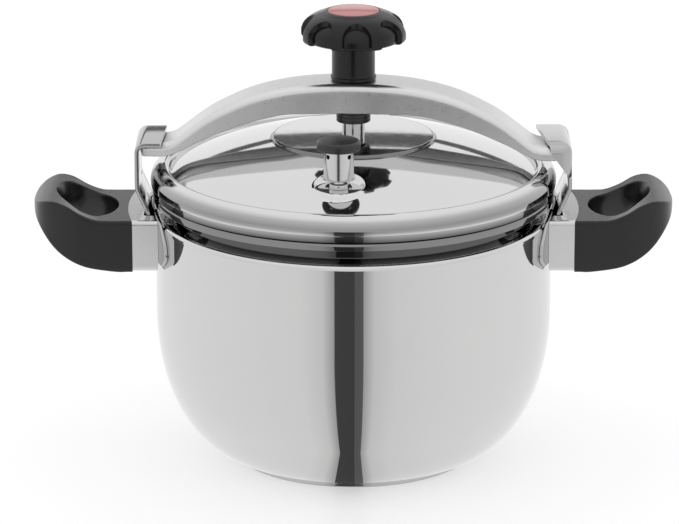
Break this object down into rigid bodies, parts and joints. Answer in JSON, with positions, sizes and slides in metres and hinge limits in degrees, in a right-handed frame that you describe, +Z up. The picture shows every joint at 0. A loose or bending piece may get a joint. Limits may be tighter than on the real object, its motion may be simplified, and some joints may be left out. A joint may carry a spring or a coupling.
{
  "type": "stovetop pressure cooker",
  "caption": "Stovetop pressure cooker: round steel pot with side handles, a domed lid clamped by a bridge bar and screw knob, and a steam valve.",
  "frame": {"origin": "centre of the base cap, on the surface the pot stands on", "axes": "+Z up along the knob's axis; +X from the left handle to the right handle; the steam valve is in front, towards -Y"},
  "size_m": [0.45, 0.286, 0.323],
  "materials": {
    "pot_steel": "satin polished stainless",
    "base_steel": "polished stainless",
    "core_aluminium": "raw",
    "lid_steel": "mirror polished stainless",
    "bridge_steel": "mirror polished",
    "ear_steel": "polished",
    "ferrule_chrome": "polished",
    "black_phenolic": "semi-gloss moulded",
    "valve_black": "satin moulded",
    "red_insert": "satin moulded",
    "gasket_rubber": "matte",
    "valve_steel": "turned",
    "screw_steel": "zinc plated",
    "black_steel": "blackened",
    "brass": "turned",
    "guide_plastic": "moulded"
  },
  "bodies": {
    "pot": {"pot_shell": "pot_steel", "base_core": "core_aluminium", "base_cap": "base_steel", "left_ear": "ear_steel", "right_ear": "ear_steel", "left_ferrule": "ferrule_chrome", "right_ferrule": "ferrule_chrome", "left_handle_tang": "ear_steel", "right_handle_tang": "ear_steel", "left_handle": "black_phenolic", "right_handle": "black_phenolic", "left_handle_screw": "screw_steel", "right_handle_screw": "screw_steel"},
    "lid": {"lid_shell": "lid_steel", "lid_gasket": "gasket_rubber", "spindle_cup": "screw_steel", "vent_stem": "valve_steel", "vent_stem_nut": "valve_steel", "vent_stem_seal": "gasket_rubber", "safety_body": "valve_steel", "safety_nut": "valve_steel", "safety_seal": "gasket_rubber", "safety_spring": "screw_steel"},
    "bridge": {"bridge_bar": "bridge_steel", "bridge_bush": "black_steel"},
    "knob": {"knob_head": "black_phenolic", "knob_insert": "red_insert", "knob_nut": "brass", "spindle": "screw_steel", "spindle_ring": "screw_steel"},
    "valve_guide": {"valve_bush": "guide_plastic"},
    "valve": {"valve_barrel": "valve_steel", "valve_cap": "valve_black", "valve_plug": "valve_steel"},
    "safety_pin": {"safety_pin": "valve_steel"}
  },
  "joints": [
    {"name": "lid_turn", "type": "hinge", "parent": "pot", "child": "lid", "pos_m": [0, 0, 0.2], "axis": [0, 0, 1], "range_deg": [0, 90]},
    {"name": "knob_turn", "type": "hinge", "parent": "lid", "child": "knob", "pos_m": [0, 0, 0.3], "axis": [0, 0, 1], "range_deg": [0, 720]},
    {"name": "bridge_drop", "type": "slide", "parent": "lid", "child": "bridge", "axis": [0, 0, -1], "range_m": [0, 0.006]},
    {"name": "valve_lift", "type": "slide", "parent": "lid", "child": "valve_guide", "axis": [0, 0, 1], "range_m": [0, 0.01]},
    {"name": "valve_spin", "type": "hinge", "parent": "valve_guide", "child": "valve", "pos_m": [-0.01, -0.094, 0.23], "axis": [0, 0, 1], "continuous": true},
    {"name": "safety_pin_rise", "type": "slide", "parent": "lid", "child": "safety_pin", "axis": [0, 0, 1], "range_m": [0, 0.003], "stiffness_N_per_m": 1500, "springref_m": -0.003, "deforming": ["safety_spring"]}
  ],
  "couplings": [
    {"joint": "knob_turn", "follows": "bridge_drop", "rad_per_m": 2094.3}
  ]
}
